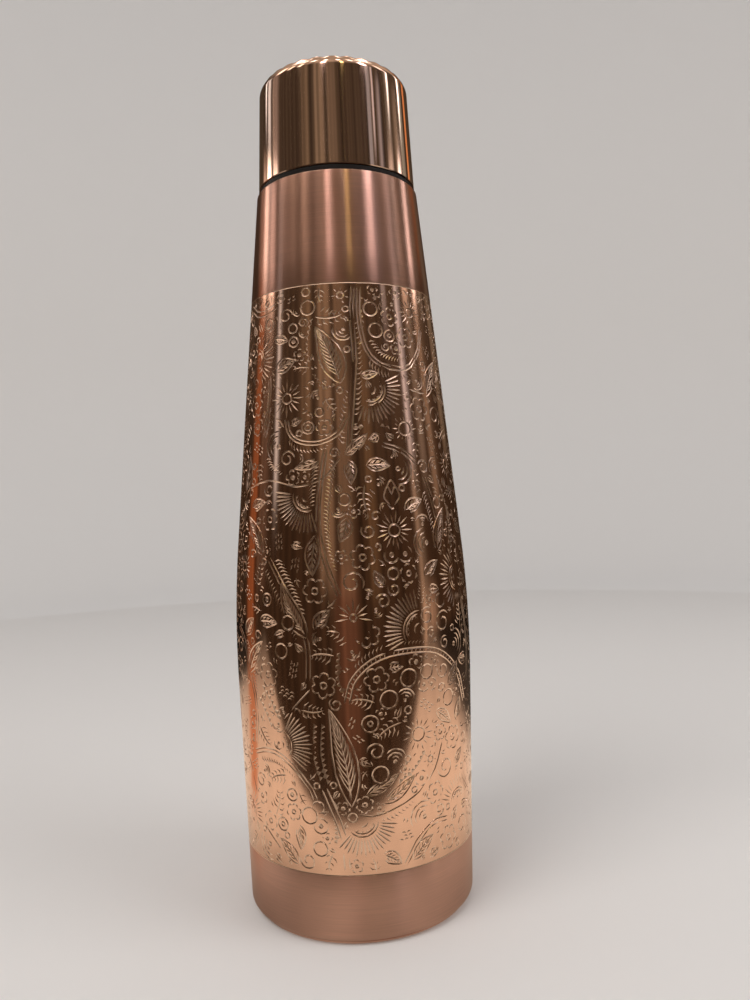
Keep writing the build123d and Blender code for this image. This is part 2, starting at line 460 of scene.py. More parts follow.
def thinned(points, tolerance):
    """The line with only the points its shape needs."""
    if len(points) < 3:
        return points
    start, end = points[0], points[-1]
    chord = end - start
    length = np.linalg.norm(chord)
    offset = points - start
    if length > 1e-6:
        away = np.abs(chord[0] * offset[:, 1] - chord[1] * offset[:, 0]) / length
    else:
        away = np.linalg.norm(offset, axis=1)
    worst = int(away.argmax())
    if away[worst] <= tolerance:
        return points[[0, -1]]
    return np.vstack([thinned(points[: worst + 1], tolerance)[:-1], thinned(points[worst:], tolerance)])


LEVEL = 40.0                  # the band is laid out flat with x = this times the turn in radians
SEAM = -math.pi / 2 * LEVEL   # the flat band starts here, at a turn of -90 degrees
AROUND = 2 * math.pi * LEVEL
GRAIN = 0.35                  # spacing of the points while a line is being clipped
FIT = 0.12                    # how far a thinned line may stray
SHORTEST = 1.3                # leftover bits of clipped lines under this length are dropped
MARGIN = 0.45                 # lines stop this far short of the band's ends


class Engraving:
    """Lines cut in the flattened band, as (points, closed), and the areas that later lines stay out of."""

    def __init__(self):
        self.lines, self.taken = [], []
        self.low, self.high = np.zeros((0, 2)), np.zeros((0, 2))

    def motif(self, turn, height, drawing, tilt=0.0, mirror=False):
        """Places a motif at a turn in degrees and a height, leaned over clockwise by tilt degrees."""
        lean = math.radians(-tilt)
        spin = np.array([[math.cos(lean), math.sin(lean)], [-math.sin(lean), math.cos(lean)]])

        def put(line):
            line = np.array(line, float) * ((-1, 1) if mirror else (1, 1)) @ spin
            y = height + line[:, 1]
            return np.stack([(math.radians(turn) + line[:, 0] / wall_radius(y)) * LEVEL, y], 1)

        opened, closed, outline = drawing
        for line in opened:
            self.cut(put(line))
        for line in closed:
            self.cut(put(line), True)
        self.keep_out(put(outline))

    def keep_out(self, outline):
        """Takes an area, repeated beyond the seam."""
        for shift in (-AROUND, 0, AROUND):
            moved = outline + (shift, 0)
            if moved[:, 0].max() > SEAM - 15 and moved[:, 0].min() < SEAM + AROUND + 15:
                self.taken.append(moved)
                self.low = np.vstack([self.low, moved.min(0)])
                self.high = np.vstack([self.high, moved.max(0)])

    def free(self, points):
        """Which points are on the band and in no taken area."""
        open_here = (points[:, 1] > BAND_BOTTOM + MARGIN) & (points[:, 1] < BAND_TOP - MARGIN)
        near = (self.low < points.max(0)).all(1) & (self.high > points.min(0)).all(1)
        for i in np.flatnonzero(near):
            open_here &= ~inside(points, self.taken[i])
        return open_here

    def cut(self, points, closed=False):
        """Cuts a line, leaving out what lies in a taken area."""
        fine = spaced(np.vstack([points, points[:1]]) if closed else points, GRAIN)
        kept = self.free(fine)
        if closed and kept.all():
            half = len(fine) // 2
            sides = [thinned(fine[: half + 1], FIT)[:-1], thinned(fine[half:], FIT)[:-1]]
            self.lines.append((np.vstack(sides), True))
            return
        edges = np.flatnonzero(np.diff(np.concatenate([[0], kept.astype(int), [0]])))
        for first, last in zip(edges[::2], edges[1::2]):
            if (last - first - 1) * GRAIN >= SHORTEST:
                self.lines.append((thinned(fine[first:last], FIT), False))

    def path(self, places, steps=8):
        """A flowing line through (turn, height) places, on the flattened band."""
        p = np.array(places, float)
        return smooth(np.stack([np.radians(p[:, 0]) * LEVEL, p[:, 1]], 1), steps)

    def stem(self, places, gap=0.0, teeth=0.0):
        """A single line, or two lines gap apart with slanted teeth between them every so often."""
        line = self.path(places)
        if not gap:
            self.cut(line)
            return
        left = sideways(line)
        self.cut(line + left * gap / 2)
        self.cut(line - left * gap / 2)
        if teeth:
            even = spaced(line, teeth)
            left = sideways(even)
            for spot, aside, run in zip(even[1:-1], left[1:-1], np.gradient(even, axis=0)[1:-1]):
                self.cut(np.array([spot - aside * gap * 0.5, spot + aside * gap * 0.5 + run * 0.5]))
        self.keep_out(np.vstack([line + sideways(line) * gap / 2, (line - sideways(line) * gap / 2)[::-1]]))

    def comb(self, places, pitch, length, lean=40.0, side=1):
        """Curved teeth along one side of a path, like a feather's, shorter towards its end."""
        even = spaced(self.path(places), pitch)
        run = np.gradient(even, axis=0)
        run /= np.linalg.norm(run, axis=1, keepdims=True)
        left = sideways(even) * side
        slant, bow = math.radians(lean), math.radians(lean * 0.35)
        for i in range(1, len(even)):
            reach = length * (1 - 0.75 * (i / len(even)) ** 2)
            tip = even[i] + reach * (math.sin(slant) * run[i] + math.cos(slant) * left[i])
            middle = even[i] + reach * 0.5 * (math.sin(bow) * run[i] + math.cos(bow) * left[i])
            self.cut(smooth([even[i] + left[i] * 0.35, middle, tip], 4))

    def frill(self, places, pitch, bulge, side=1):
        """A chain of small bows along a path."""
        even = spaced(self.path(places), pitch)
        left = sideways(even) * side
        for i in range(len(even) - 1):
            middle = (even[i] + even[i + 1]) / 2 + (left[i] + left[i + 1]) / 2 * bulge
            self.cut(smooth([even[i], middle, even[i + 1]], 4))


FLOWERS = (       # turn, height, core, reach, petals
    (-31.7, 172, 1.7, 6.4, 16), (21.0, 128.8, 1.9, 6.4, 18), (28.2, 64.4, 2.2, 5.8, 15),
    (43.0, 199.6, 1.5, 5.4, 16), (31.4, 161.0, 2.2, 4.6, 16), (-62.0, 118.0, 1.6, 5.2, 16),
    (63.0, 150.0, 1.5, 5.2, 16), (-70.0, 176.0, 1.6, 5.4, 16), (70.0, 62.0, 1.6, 5.4, 16),
)
FANS = (          # turn, height, hub, reach, first and last ray, rays
    (13.2, 173.8, 5.2, 11.4, -112, 24, 17), (-20.0, 140.5, 4.8, 12.0, 172, 286, 17),
    (31.0, 97.0, 6.2, 13.2, 98, 205, 16), (-37.5, 62.0, 4.8, 12.4, -36, 62, 15),
    (0.8, 39.5, 5.0, 11.4, -132, -10, 17), (-58.0, 186.0, 4.4, 9.8, -60, 75, 14),
    (59.0, 112.0, 4.6, 10.4, 110, 250, 15), (54.0, 38.0, 4.6, 10.0, 20, 160, 15),
    (-66.0, 36.0, 4.6, 9.6, -10, 120, 14),
)
LEAVES = (        # turn and height of the foot, length, width, veins, bend, tilt
    (-2.0, 175.6, 20, 8.0, 10, -3.5, -12), (-13.4, 151.6, 9.0, 2.8, 4, 1.2, -112),
    (-1.2, 153.0, 10, 3.0, 5, -1.6, 58), (-3.6, 43.8, 31, 7.6, 15, -5.0, -2),
    (3.0, 47.6, 12, 3.4, 6, -2.0, 72), (10.5, 44.4, 13, 3.6, 6, -2.4, 66),
    (-16.0, 127.6, 12, 5.0, 6, -2.2, 195), (-20.5, 96.5, 19, 6.0, 9, 4.0, -40),
    (45.0, 121.0, 15, 5.0, 8, 3.6, 8), (-46.0, 122.0, 15, 5.2, 8, -3.4, -22),
    (50.0, 172.0, 15, 5.6, 8, 3.0, 22), (47.0, 77.5, 9, 4.0, 5, -1.4, 48),
    (38.5, 70.5, 9, 3.8, 5, 1.4, 118), (-57.0, 83.0, 14, 5.2, 7, 3.0, 24),
    (-30.0, 24.6, 10, 4.0, 5, -2.0, -34), (24.0, 25.0, 10, 4.0, 5, 2.0, 40),
    (-64.0, 142.0, 13, 5.0, 7, -2.6, 20), (8.8, 177.6, 6.0, 2.6, 3, 0.8, 70),
)
RINGS = (         # turn, height, radius, dot
    (-21.3, 173.4, 1.8, 0.6), (-22.0, 168.6, 1.7, 0.6), (-13.2, 166.8, 1.4, 0), (-19.4, 162.2, 2.0, 1.0),
    (16.5, 199.7, 2.3, 0), (18.8, 192.8, 2.3, 0), (26.9, 191.2, 1.9, 0.6), (-28.0, 190.2, 1.7, 0.5),
    (18.8, 121.2, 2.5, 0.6), (25.6, 121.2, 2.5, 0.6), (19.0, 115.4, 1.8, 0), (43.8, 105.4, 2.2, 0),
    (-1.8, 139.0, 1.8, 0), (33.4, 83.6, 2.3, 0), (31.6, 79.6, 2.1, 0.5), (35.9, 79.4, 2.0, 0.5),
    (47.0, 73.6, 2.6, 0), (-19.4, 200.8, 2.4, 0), (-20.5, 206.0, 1.4, 0), (-23.2, 40.8, 2.6, 0),
    (-18.0, 37.8, 2.4, 0.6), (-18.8, 43.6, 1.9, 0), (-18.6, 30.6, 2.3, 0), (-3.4, 40.6, 1.4, 0),
    (-30.0, 101.0, 2.2, 0), (23.2, 72.5, 1.2, 0), (22.5, 57.2, 1.0, 0), (-31.8, 46.6, 1.9, 0.6),
    (5.8, 69.5, 2.6, 0.8), (24.0, 82.5, 2.8, 0), (-42.0, 108.0, 1.9, 0.6), (-38.0, 36.5, 2.1, 0.7),
    (14.5, 76.5, 2.8, 0), (9.6, 53.4, 2.6, 0), (-28.6, 194.6, 1.6, 0), (-34.0, 92.0, 2.3, 0),
    (48.5, 137.0, 1.8, 0),
)
STEMS = (         # gap between its two lines, spacing of the strokes across it, and its places
    (1.3, 0, (7, 207), (5.4, 196), (6.2, 184), (4.2, 172), (2.0, 160), (1.0, 154)),
    (1.2, 0, (10.5, 207), (9.5, 197), (12.5, 187), (19, 182.2), (28, 180.6), (38, 181.4), (47, 187),
     (52, 195)),
    (1.1, 0, (-31.7, 165.4), (-30, 161), (-24, 157.9), (-13.5, 157.2), (-4, 160), (0.5, 165)),
    (0, 0, (-62, 143.5), (-42, 146), (-26, 143.6), (-12, 145.8), (-3, 152.4)),
    (0, 0, (-70, 204.5), (-60, 201.5), (-50, 201), (-40, 202.4)),
    (0, 0, (-70, 206.4), (-60, 203.2), (-50, 202.6), (-41, 204)),
    (1.2, 0, (-10.5, 155), (-13, 145), (-14.6, 134), (-13, 124), (-9.6, 116), (-5.4, 109)),
    (1.3, 0, (-41, 121), (-34, 114), (-27.5, 107.5), (-22.5, 99.5), (-20.5, 92), (-21, 83)),
    (1.5, 1.5, (-4, 76), (-1, 83), (7, 88.4), (18, 90.8), (34.7, 90.4), (46, 87), (56, 80), (62, 70)),
    (1.2, 0, (-56, 57.4), (-46, 59.4), (-38, 58.8), (-29.5, 55.2), (-22.5, 49.6), (-19.8, 45.6)),
    (1.6, 0, (-15.6, 49.6), (-11.2, 42), (-7.6, 34), (-6.6, 24)),
    (0, 0, (-2, 41.7), (6, 40.8), (16, 42.4), (28, 46.2), (37, 52), (42, 60)),
    (0, 0, (-34, 70.5), (-27, 75.5), (-20, 80.5)),
    (1.2, 0, (18, 156), (28, 154), (37, 149.6), (43, 142), (47, 132), (47.4, 122)),
    (0, 0, (37, 174), (48, 173), (60, 175.4)),
    (1.2, 0, (-47, 160), (-44, 170), (-45, 181), (-50, 192), (-58, 199)),
    (1.2, 0, (62, 108), (66, 98), (68, 86), (66, 76)),
    (1.2, 0, (-70, 98), (-62, 94), (-56, 84), (-52, 72), (-54, 60)),
    (0, 0, (-66, 56), (-60, 50), (-56, 42), (-50, 34), (-40, 28)),
    (1.2, 0, (20, 24), (27, 31), (36, 35), (45, 34.6)),
)
COMBS = (         # spacing, length, lean and side of the teeth, and the places of the line they stand on
    (1.15, 3.6, 35, 1, (-47, 153.4), (-41.5, 148.8), (-34, 146.8)),
    (1.2, 3.6, 35, -1, (-11.8, 153), (-14.6, 143), (-15.9, 133), (-14, 122), (-10, 113)),
    (1.2, 3.8, 35, 1, (-8.9, 153), (-11.2, 143), (-12.6, 133), (-11.2, 124), (-6.4, 114)),
    (1.6, 3.4, 30, -1, (2.4, 156), (3.6, 165), (5.6, 175), (7, 185), (6.6, 196), (8.4, 206)),
    (1.6, 3.8, 30, 1, (0.2, 155), (1.2, 165), (3.0, 174)),
    (1.3, 3.8, 30, 1, (-39, 121), (-32.5, 114), (-26, 106.5), (-21.2, 98)),
    (1.3, 3.8, 30, -1, (-42, 119), (-35.4, 111.6), (-28.5, 103.5), (-24, 94)),
    (1.3, 3.2, 30, 1, (45, 143), (49, 132), (49.6, 122)),
    (1.3, 3.2, 30, -1, (41, 142), (44.8, 132), (45.2, 122)),
    (1.1, 2.2, 35, 1, (31, 104.6), (33, 110), (32.6, 115)),
    (1.1, 2.2, 35, -1, (31, 104.6), (33, 110), (32.6, 115)),
    (1.25, 3.2, 30, -1, (14, 184.4), (20, 180.8), (28, 179.2), (38, 180), (47, 185.4)),
    (1.25, 3.0, 30, 1, (12.6, 189.6), (19.4, 184.2), (28, 182.4), (37, 183.2), (44, 188)),
    (1.2, 2.8, 35, -1, (-30, 160), (-24, 156.8), (-13.5, 156), (-4, 158.8)),
    (1.25, 2.6, 30, 1, (0, 85.4), (8, 90), (18, 92.2), (34.7, 91.8), (47, 88.4)),
    (1.2, 2.8, 35, -1, (-52, 57), (-40, 57.4), (-30.5, 54), (-24, 48.6)),
    (1.2, 3.0, 35, 1, (-46.2, 161), (-43, 170), (-44, 181), (-48.6, 191)),
    (1.2, 3.0, 35, -1, (-48, 161), (-45.2, 170), (-46.4, 181), (-51.6, 191)),
    (1.2, 3.0, 35, 1, (-61, 94.4), (-54.6, 84), (-50.6, 72)),
    (1.3, 3.0, 30, -1, (4, 40), (15, 41.4), (27, 45)),
    (1.2, 2.6, 35, 1, (22, 198), (26, 202), (31, 206)),
)
FRILLS = (        # width of a bow, how far it bulges, side, and the places of its line
    (1.9, 0.8, 1, (3.6, 161), (12, 161.8), (21, 161.2), (26.6, 158)),
    (1.7, 1.0, 1, (-15.6, 70), (-16.6, 60), (-14.0, 51)),
    (1.7, 1.0, 1, (-19.2, 70), (-20.2, 60), (-17.4, 52)),
    (1.9, 0.9, 1, (57, 136), (59, 128), (56, 120)),
    (1.3, 0.9, -1, (-11.5, 42), (-10.2, 37), (-10.8, 32.5)),
    (1.8, 0.9, 1, (-47, 80), (-41, 75), (-36.4, 70)),
    (1.8, 0.9, 1, (-50, 76), (-45, 71), (-42, 67)),
    (1.8, 0.8, -1, (10, 206), (13, 203), (20, 203.6), (25, 206)),
    (1.8, 0.9, 1, (-42, 199), (-36, 197), (-31, 199.4)),
    (1.7, 0.9, -1, (8.8, 188), (10.6, 195), (9.4, 203)),
    (1.7, 0.9, 1, (-17, 179), (-11, 174), (-4.4, 175)),
    (1.7, 0.9, 1, (-18, 183), (-19, 190), (-16, 197)),
    (1.9, 0.9, 1, (-48, 190), (-43, 182), (-41, 172), (-43, 162)),
    (1.7, 0.9, -1, (52, 120), (57, 128), (55.4, 138), (50, 146)),
    (1.7, 0.9, 1, (-4, 78), (-7, 84), (-6, 92)),
    (1.7, 0.9, 1, (18, 50), (27, 54), (33, 60)),
)
HOOKS = (         # turn, height, radius
    (-31.0, 152.6, 2.8), (41.0, 148.6, 2.6), (-33.4, 199.0, 2.6), (8.0, 60.6, 3.0), (13.6, 107.0, 2.6),
    (-52.0, 48.6, 2.8),
)


def engrave_side(work, home):
    """The layout of one side of the bottle, centred on a turn of home degrees."""
    def moved(places):
        return [(home + turn, height) for turn, height in places]

    for turn, height, core, reach, petals in FLOWERS:
        work.motif(home + turn, height, daisy(core, reach, petals))
    work.motif(home + 0.2, 102.5, daisy(1.1, 6.0, 9, -10, 190))
    work.motif(home + 21.0, 136.6, tulip(6.4))
    for turn, height, hub, reach, first, last, rays in FANS:
        work.motif(home + turn, height, fan(hub, reach, first, last, rays))
    for turn, height, radius, dot in RINGS:
        work.motif(home + turn, height, ring(radius, dot))
    for turn, height, length, width, veins, bend, tilt in LEAVES:
        work.motif(home + turn, height, leaf(length, width, veins, bend), tilt)
    for turn, height, radius in HOOKS:
        work.motif(home + turn, height, hook(radius), mirror=turn > 0)
    for gap, strokes, *places in STEMS:
        work.stem(moved(places), gap, strokes)
    for pitch, length, lean, side, *places in COMBS:
        work.comb(moved(places), pitch, length, lean, side)
    for pitch, bulge, side, *places in FRILLS:
        work.frill(moved(places), pitch, bulge, side)


FILL = (4.4, 3.9, 3.4, 3.0, 2.6, 2.2, 1.8, 1.5)   # radii of the filling motifs


def filler(size, chance):
    """A small motif that fits in a circle of the given radius."""
    kind = chance.random()
    if size < 1.8:
        if kind < 0.35:
            return ring(size * 0.66)
        return [arc(size * share, -75, 75, -size * 0.4, 0, 9) for share in (1.1, 0.6)], [], circle(size * 0.8)
    if kind < 0.22:
        return rosette(size * 0.98, 5 if size < 3 else 6, chance.uniform(0, 60))
    if kind < 0.42:
        return fern(size * 1.95, size * 1.5, int(size * 1.3))
    if kind < 0.56:
        return shell(size * 0.9)
    if kind < 0.70:
        return scales(size * 1.7, max(int(size * 0.9), 2), 0.95)
    if kind < 0.80:
        return hook(size * 0.86)
    if kind < 0.86 and size > 2.8:
        return daisy(1.1, size * 0.95, 14)
    lines, _, outline = leaf(size * 1.8, size * chance.uniform(0.8, 1.1), int(size * 1.6), size * 0.4)
    return [line - (0, size * 0.9) for line in lines], [], outline - (0, size * 0.9)


def fill_gaps(work, chance):
    """Fits small motifs into what is left of the band, the largest first."""
    step = 0.45
    xs = np.arange(SEAM, SEAM + AROUND, step)
    ys = np.arange(BAND_BOTTOM + 1.0, BAND_TOP - 1.0, step)
    tree = line_tree(work.lines, 0.5)
    room = np.array([[tree.find((x, y, 0))[2] for x in xs] for y in ys])
    room *= np.minimum(wall_radius(ys) / LEVEL, 1)[:, None]
    room = np.minimum(room, np.minimum(ys - BAND_BOTTOM, BAND_TOP - ys)[:, None])
    spots = np.stack(np.meshgrid(xs, ys), -1).reshape(-1, 2)
    room[~work.free(spots).reshape(room.shape)] = 0
    for size in FILL:
        while (room >= size).any():
            rows, columns = np.nonzero(room >= size)
            pick = chance.randrange(len(rows))
            x, y = xs[columns[pick]], ys[rows[pick]]
            work.motif(math.degrees(x / LEVEL), y, filler(size, chance), chance.uniform(0, 360))
            aside = (xs[None, :] - x + AROUND / 2) % AROUND - AROUND / 2
            away = np.hypot(aside * wall_radius(y) / LEVEL, ys[:, None] - y) - size * 0.9
            room = np.minimum(room, np.maximum(away, 0))


def tree_of(spots):
    """A search tree of flat places."""
    tree = KDTree(len(spots))
    for i, (x, y) in enumerate(spots):
        tree.insert((x, y, 0), i)
    tree.balance()
    return tree


def near_copies(points):
    """The points, and their copies beyond either side of the seam that still matter."""
    for shift in (-AROUND, 0, AROUND):
        moved = points + (shift, 0)
        if moved[:, 0].max() > SEAM - 3 and moved[:, 0].min() < SEAM + AROUND + 3:
            yield moved


def line_tree(lines, gap):
    """A search tree of points along every line."""
    spots = []
    for points, closed in lines:
        whole = np.vstack([points, points[:1]]) if closed else points
        for moved in near_copies(whole):
            for a, b in zip(moved, moved[1:]):
                count = max(int(math.hypot(*(b - a)) / gap), 1)
                spots += [a + (b - a) * t for t in np.linspace(0, 1, count + 1)]
    return tree_of(spots)


def engraving():
    """All the engraved lines: the same layout front and back, and small motifs in the gaps."""
    chance = random.Random(7)
    work = Engraving()
    for home in (0, 180):
        engrave_side(work, home)
    fill_gaps(work, chance)
    return work.lines


# ---------------------------------------------------------------- the band's surface
NEAR = 0.5                    # lines further than this from a place don't reach it
SHALLOWEST = 0.02             # anything shallower counts as uncut
UPRIGHTS = 42                 # points up the band's seam
GRID_COLUMNS = 44             # plain points that keep the uncut surface round
GRID_RISE = 5.4
GRID_CLEAR = 1.3              # a plain point stands at least this far from a line


def stroke_sides(points, closed):
    """A line's two edges on the flat band, and its half width at each point, running out at open ends."""
    squeeze = (wall_radius(points[:, 1]) / LEVEL)[:, None] ** (1, 0)
    true = points * squeeze
    if closed:
        run = np.roll(true, -1, axis=0) - np.roll(true, 1, axis=0)
        half = np.full(len(points), STROKE)
    else:
        run = np.gradient(true, axis=0)
        along = lengths(true)
        half = STROKE * np.clip(np.minimum(along, along[-1] - along) / TIP, 0, 1)
    reach = leftward(run) * half[:, None] / squeeze
    return points + reach, points - reach, half


def with_tips(points):
    """An open line with a point where each long end starts to run out, or in a short stroke's middle."""
    along = lengths(points)
    whole = along[-1]
    if len(points) == 2 and whole < 4.6 * TIP:
        extra = [whole / 2]
    else:
        extra = [TIP] if along[1] > 2 * TIP else []
        if whole - along[-2] > 2 * TIP:
            extra.append(whole - TIP)
    return at_lengths(points, np.sort(np.concatenate([along, extra])))


def band_drawing(lines):
    """Points and edges for the triangulation, and every piece of line as (start, end, half widths)."""
    points, edges, pieces = [], [], []

    def add(chain, closed, first=None, last=None):
        """Adds a chain of points, tied to the earlier points first and last where those are given."""
        base = len(points)
        points.extend(chain)
        numbers = list(range(base, base + len(chain)))
        numbers = ([first] if first is not None else []) + numbers + ([last] if last is not None else [])
        edges.extend(zip(numbers, numbers[1:]))
        if closed:
            edges.append((numbers[-1], numbers[0]))
        return numbers

    for line, closed in lines:
        line = line if closed else with_tips(line)
        for moved in near_copies(line):
            left, right, half = stroke_sides(moved, closed)
            if closed:
                add(moved[::2], True)
                add(left, True)
                add(right, True)
                loop = [*range(len(moved)), 0]
            else:
                skip = 1 if len(moved) == 3 else 2
                middle = add(np.vstack([moved[:-1:skip], moved[-1:]]), False)
                add(left[1:-1], False, middle[0], middle[-1])
                add(right[1:-1], False, middle[0], middle[-1])
                loop = list(range(len(moved)))
            pieces += [(moved[a], moved[b], half[a], half[b]) for a, b in zip(loop, loop[1:])]
    return points, edges, pieces


def groove_depths(places, pieces):
    """How deep the engraving is at each place, deepest in a line's middle, and how far the nearest line is."""
    spots, owners = [], []
    for number, (a, b, _, _) in enumerate(pieces):
        count = max(int(math.hypot(*(b - a)) / 0.25), 1)
        spots += [a + (b - a) * t for t in np.linspace(0, 1, count + 1)]
        owners += [number] * (count + 1)
    tree = tree_of(spots)
    starts = np.array([p[0] for p in pieces])
    runs = np.array([p[1] for p in pieces]) - starts
    widths = np.array([p[2:] for p in pieces])
    depths, clear = np.zeros(len(places)), np.zeros(len(places))
    for i, (x, y) in enumerate(places):
        squeeze = float(wall_radius(y)) / LEVEL
        clear[i] = tree.find((x, y, 0))[2]
        if clear[i] > NEAR:
            continue
        for n in {owners[found] for _, found, _ in tree.find_range((x, y, 0), NEAR)}:
            rx, ry = runs[n][0] * squeeze, runs[n][1]
            ox, oy = (x - starts[n][0]) * squeeze, y - starts[n][1]
            t = min(max((ox * rx + oy * ry) / max(rx * rx + ry * ry, 1e-9), 0.0), 1.0)
            half = widths[n][0] * (1 - t) + widths[n][1] * t
            depths[i] = max(depths[i], half - math.hypot(ox - rx * t, oy - ry * t))
    depths *= STROKE_SLOPE
    depths[depths < SHALLOWEST] = 0
    return depths, clear


def add_border(points, edges):
    """Adds the flat band's border: two ends divided like the wall next to them, and both sides of the seam."""
    base, row = len(points), ROUND + 1
    for height in (BAND_BOTTOM, BAND_TOP):
        points += [np.array((SEAM + AROUND * k / ROUND, height)) for k in range(row)]
    uprights = np.linspace(BAND_BOTTOM, BAND_TOP, UPRIGHTS)[1:-1]
    points += [np.array((x, h)) for x in (SEAM, SEAM + AROUND) for h in uprights]
    for end in (base, base + row):
        edges += [(end + k, end + k + 1) for k in range(ROUND)]
    for side, corner in ((0, 0), (1, ROUND)):
        first = base + 2 * row + side * len(uprights)
        chain = [base + corner, *range(first, first + len(uprights)), base + row + corner]
        edges += list(zip(chain, chain[1:]))


def plain_points(pieces):
    """A staggered grid of points wherever no line is close."""
    grid = [
        (SEAM + AROUND * (column + 0.5 * (line % 2)) / GRID_COLUMNS, BAND_BOTTOM + GRID_RISE * line)
        for line in range(1, 35) for column in range(GRID_COLUMNS + 1)
    ]
    grid = np.array([p for p in grid if SEAM + 1 < p[0] < SEAM + AROUND - 1 and p[1] < BAND_TOP - 1])
    return list(grid[groove_depths(grid, pieces)[1] > GRID_CLEAR])


def flat_mesh(points, edges):
    """Triangles over the flat band that keep every edge, as their points and faces."""
    flat, _, faces = delaunay_2d_cdt([Vector(p) for p in points], edges, [], 0, 1e-4)[:3]
    flat = np.array([tuple(v) for v in flat])
    faces = np.array([f for f in faces if len(f) == 3])
    x, y = flat[faces].mean(1).T
    return flat, faces[(x > SEAM) & (x < SEAM + AROUND) & (y > BAND_BOTTOM) & (y < BAND_TOP)]


def closed_up(flat, depths):
    """Turns and heights that meet the wall's divisions at the ends and each other at the seam. The depths there
    are set to match."""
    turns, heights = flat[:, 0] / LEVEL, flat[:, 1].copy()
    for edge in (BAND_BOTTOM, BAND_TOP):
        on_edge = np.abs(heights - edge) < 1e-3
        heights[on_edge] = edge
        turns[on_edge] = np.round(turns[on_edge] * ROUND / (2 * math.pi)) * 2 * math.pi / ROUND
        depths[on_edge] = 0
    first = np.flatnonzero(np.abs(flat[:, 0] - SEAM) < 1e-3)
    for i in np.flatnonzero(np.abs(flat[:, 0] - SEAM - AROUND) < 1e-3):
        twin = first[np.abs(heights[first] - heights[i]).argmin()]
        if abs(heights[twin] - heights[i]) < 0.02:
            heights[i], depths[i], turns[i] = heights[twin], depths[twin], turns[twin]
    return turns, heights


def face_normal(corners):
    """A triangle's own normal, or None where it has no area."""
    across = np.cross(corners[1] - corners[0], corners[2] - corners[0])
    size = np.linalg.norm(across)
    return across / size if size > 1e-7 else None


def engraved_band(shape, lines, flat_material, line_material):
    """Adds the band between its two edges, with every line cut in as a groove."""
    points, edges, pieces = band_drawing(lines)
    add_border(points, edges)
    points += plain_points(pieces)
    flat, faces = flat_mesh(points, edges)
    used = np.unique(faces)
    depths = np.zeros(len(flat))
    depths[used] = groove_depths(flat[used], pieces)[0]
    turns, heights = closed_up(flat, depths)
    radii = wall_radius(heights) - depths
    slopes = wall_radius(heights + 0.5) - wall_radius(heights - 0.5)
    places = np.stack([radii * np.sin(turns), -radii * np.cos(turns), heights], 1)
    smooth_normals = np.stack([np.sin(turns), -np.cos(turns), -slopes], 1)
    smooth_normals /= np.linalg.norm(smooth_normals, axis=1, keepdims=True)
    for face in faces:
        cut = depths[face].max() > 0
        own = face_normal(places[face]) if cut else None
        normals = smooth_normals[face] if own is None else [own] * 3
        shape.face(places[face], normals, line_material if cut else flat_material)


# ---------------------------------------------------------------- materials
def new_material(name):
    """An empty node material and its Principled shader."""
    made = bpy.data.materials.new(name)
    made.use_nodes = True
    return made, made.node_tree.nodes["Principled BSDF"]


def node(material, kind, **settings):
    """Adds a node. Settings named after an input give its value, and others are the node's own settings."""
    made = material.node_tree.nodes.new(kind)
    for key, value in settings.items():
        if key in made.inputs:
            made.inputs[key].default_value = value
        else:
            setattr(made, key, value)
    return made


def link(material, source, target):
    """Joins an output to an input."""
    material.node_tree.links.new(source, target)


def round_coordinates(material, around, up):
    """Texture places that run round the bottle's axis and up it, at the given scales."""
    place = node(material, "ShaderNodeTexCoord").outputs["Object"]
    flat = node(material, "ShaderNodeVectorMath", operation="MULTIPLY")
    flat.inputs[1].default_value = (1, 1, 0)
    link(material, place, flat.inputs[0])
    unit = node(material, "ShaderNodeVectorMath", operation="NORMALIZE")
    link(material, flat.outputs[0], unit.inputs[0])
    turned = node(material, "ShaderNodeVectorMath", operation="SCALE")
    turned.inputs["Scale"].default_value = around
    link(material, unit.outputs[0], turned.inputs[0])
    risen = node(material, "ShaderNodeVectorMath", operation="MULTIPLY")
    risen.inputs[1].default_value = (0, 0, up)
    link(material, place, risen.inputs[0])
    joined = node(material, "ShaderNodeVectorMath", operation="ADD")
    link(material, turned.outputs[0], joined.inputs[0])
    link(material, risen.outputs[0], joined.inputs[1])
    return joined.outputs[0]


def noise(material, scale):
    """Fine noise over the object."""
    made = node(material, "ShaderNodeTexNoise", Scale=scale, Detail=3.0)
    place = node(material, "ShaderNodeTexCoord")
    link(material, place.outputs["Object"], made.inputs["Vector"])
    return made.outputs[0]


def bumped(material, shader, height, strength, distance):
    """Lets a texture's height bend the shader's normals."""
    lifted = node(material, "ShaderNodeBump", Strength=strength, Distance=distance)
    link(material, height, lifted.inputs["Height"])
    link(material, lifted.outputs[0], shader.inputs["Normal"])


def ranged(material, value, low, high, start=0.0, stop=1.0):
    """Maps a value from start..stop to low..high."""
    made = node(material, "ShaderNodeMapRange")
    made.inputs["From Min"].default_value = start
    made.inputs["From Max"].default_value = stop
    made.inputs["To Min"].default_value = low
    made.inputs["To Max"].default_value = high
    link(material, value, made.inputs["Value"])
    return made.outputs["Result"]


def blended(material, share, first, second):
    """A colour part way between two."""
    made = node(material, "ShaderNodeMix", data_type="RGBA")
    made.inputs[6].default_value = (*first, 1)
    made.inputs[7].default_value = (*second, 1)
    link(material, share, made.inputs["Factor"])
    return made.outputs[2]


